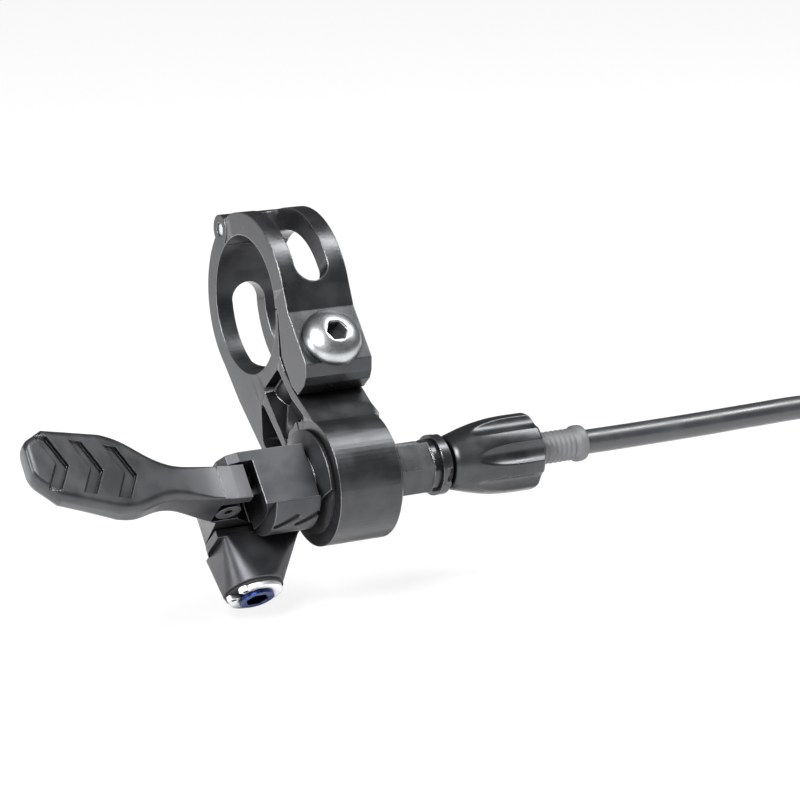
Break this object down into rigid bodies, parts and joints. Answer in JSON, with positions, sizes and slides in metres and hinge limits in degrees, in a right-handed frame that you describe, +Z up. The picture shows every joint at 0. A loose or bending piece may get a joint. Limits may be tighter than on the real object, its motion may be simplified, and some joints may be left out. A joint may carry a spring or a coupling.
{
  "type": "dropper post remote lever",
  "caption": "Thumb lever on a swivelling block under a hinged handlebar clamp, with a cable adjuster and its coiled housing.",
  "frame": {"origin": "centre of the handlebar bore, midway across the clamp", "axes": "+X along the handlebar towards the cable, +Y away from the rider, +Z up"},
  "size_m": [0.2381, 0.0777, 0.0583],
  "materials": {
    "black_alloy": "satin black anodised",
    "steel": "polished",
    "chrome": "bright",
    "blue_alloy": "dark blue anodised",
    "bronze": "plain",
    "black_rubber": "matte",
    "black_plastic": "semi-gloss",
    "grey_plastic": "satin",
    "black_fabric": "woven"
  },
  "bodies": {
    "clamp": {"clamp_bracket": "black_alloy", "hinge_pin": "steel"},
    "strap": {"clamp_strap": "black_alloy"},
    "bolt": {"clamp_bolt": "steel"},
    "swivel": {"swivel_block": "black_alloy", "swivel_washer": "black_rubber", "hollow_hex_bolt": "black_alloy", "index_ring": "black_alloy", "ear_bush": "blue_alloy", "pivot_pin": "blue_alloy", "pivot_washer": "black_rubber", "pivot_circlip": "chrome", "return_spring": "steel", "inner_cable": "steel"},
    "lever": {"thumb_lever": "black_alloy", "lever_bearing_upper": "bronze", "lever_bearing_lower": "bronze", "thrust_washers": "steel"},
    "anchor": {"cable_anchor": "steel", "pinch_screw": "steel"},
    "cable_end": {"housing_ferrule": "grey_plastic", "cable_housing": "black_plastic", "housing_coil": "black_plastic", "housing_tail": "black_plastic", "coil_tie": "black_fabric", "end_ferrule": "grey_plastic"},
    "knob": {"adjuster_barrel": "black_alloy", "barrel_seal": "black_rubber"}
  },
  "joints": [
    {"name": "clamp_bolt_unscrew", "type": "slide", "parent": "clamp", "child": "bolt", "axis": [0, -0.749, 0.6626], "range_m": [0, 0.003]},
    {"name": "strap_open", "type": "hinge", "parent": "clamp", "child": "strap", "pos_m": [0, 0.00928, 0.01048], "axis": [-1, 0, 0], "range_deg": [0, 5.3]},
    {"name": "block_swivel", "type": "hinge", "parent": "clamp", "child": "swivel", "pos_m": [-0.0057, -0.0233, -0.02331], "axis": [1, 0, 0], "range_deg": [-15, 15]},
    {"name": "lever_press", "type": "hinge", "parent": "swivel", "child": "lever", "pos_m": [-0.0162, -0.01632, -0.02976], "axis": [0, -0.6626, -0.749], "range_deg": [0, 28], "stiffness_Nm_per_rad": 0.25, "springref_deg": -20.05, "deforming": ["return_spring", "inner_cable"]},
    {"name": "anchor_turn", "type": "hinge", "parent": "lever", "child": "anchor", "pos_m": [-0.0207, -0.0233, -0.02331], "axis": [0, -0.6626, -0.749], "range_deg": [-28.5, 0]},
    {"name": "adjuster_travel", "type": "slide", "parent": "swivel", "child": "cable_end", "axis": [1, 0, 0], "range_m": [0, 0.004]},
    {"name": "adjuster_spin", "type": "hinge", "parent": "cable_end", "child": "knob", "pos_m": [0.025, -0.0233, -0.02331], "axis": [1, 0, 0], "range_deg": [0, 1441]}
  ],
  "couplings": [
    {"joint": "strap_open", "follows": "clamp_bolt_unscrew", "rad_per_m": 30.3},
    {"joint": "anchor_turn", "follows": "lever_press", "ratio": -1},
    {"joint": "adjuster_spin", "follows": "adjuster_travel", "rad_per_m": 6283.2}
  ]
}
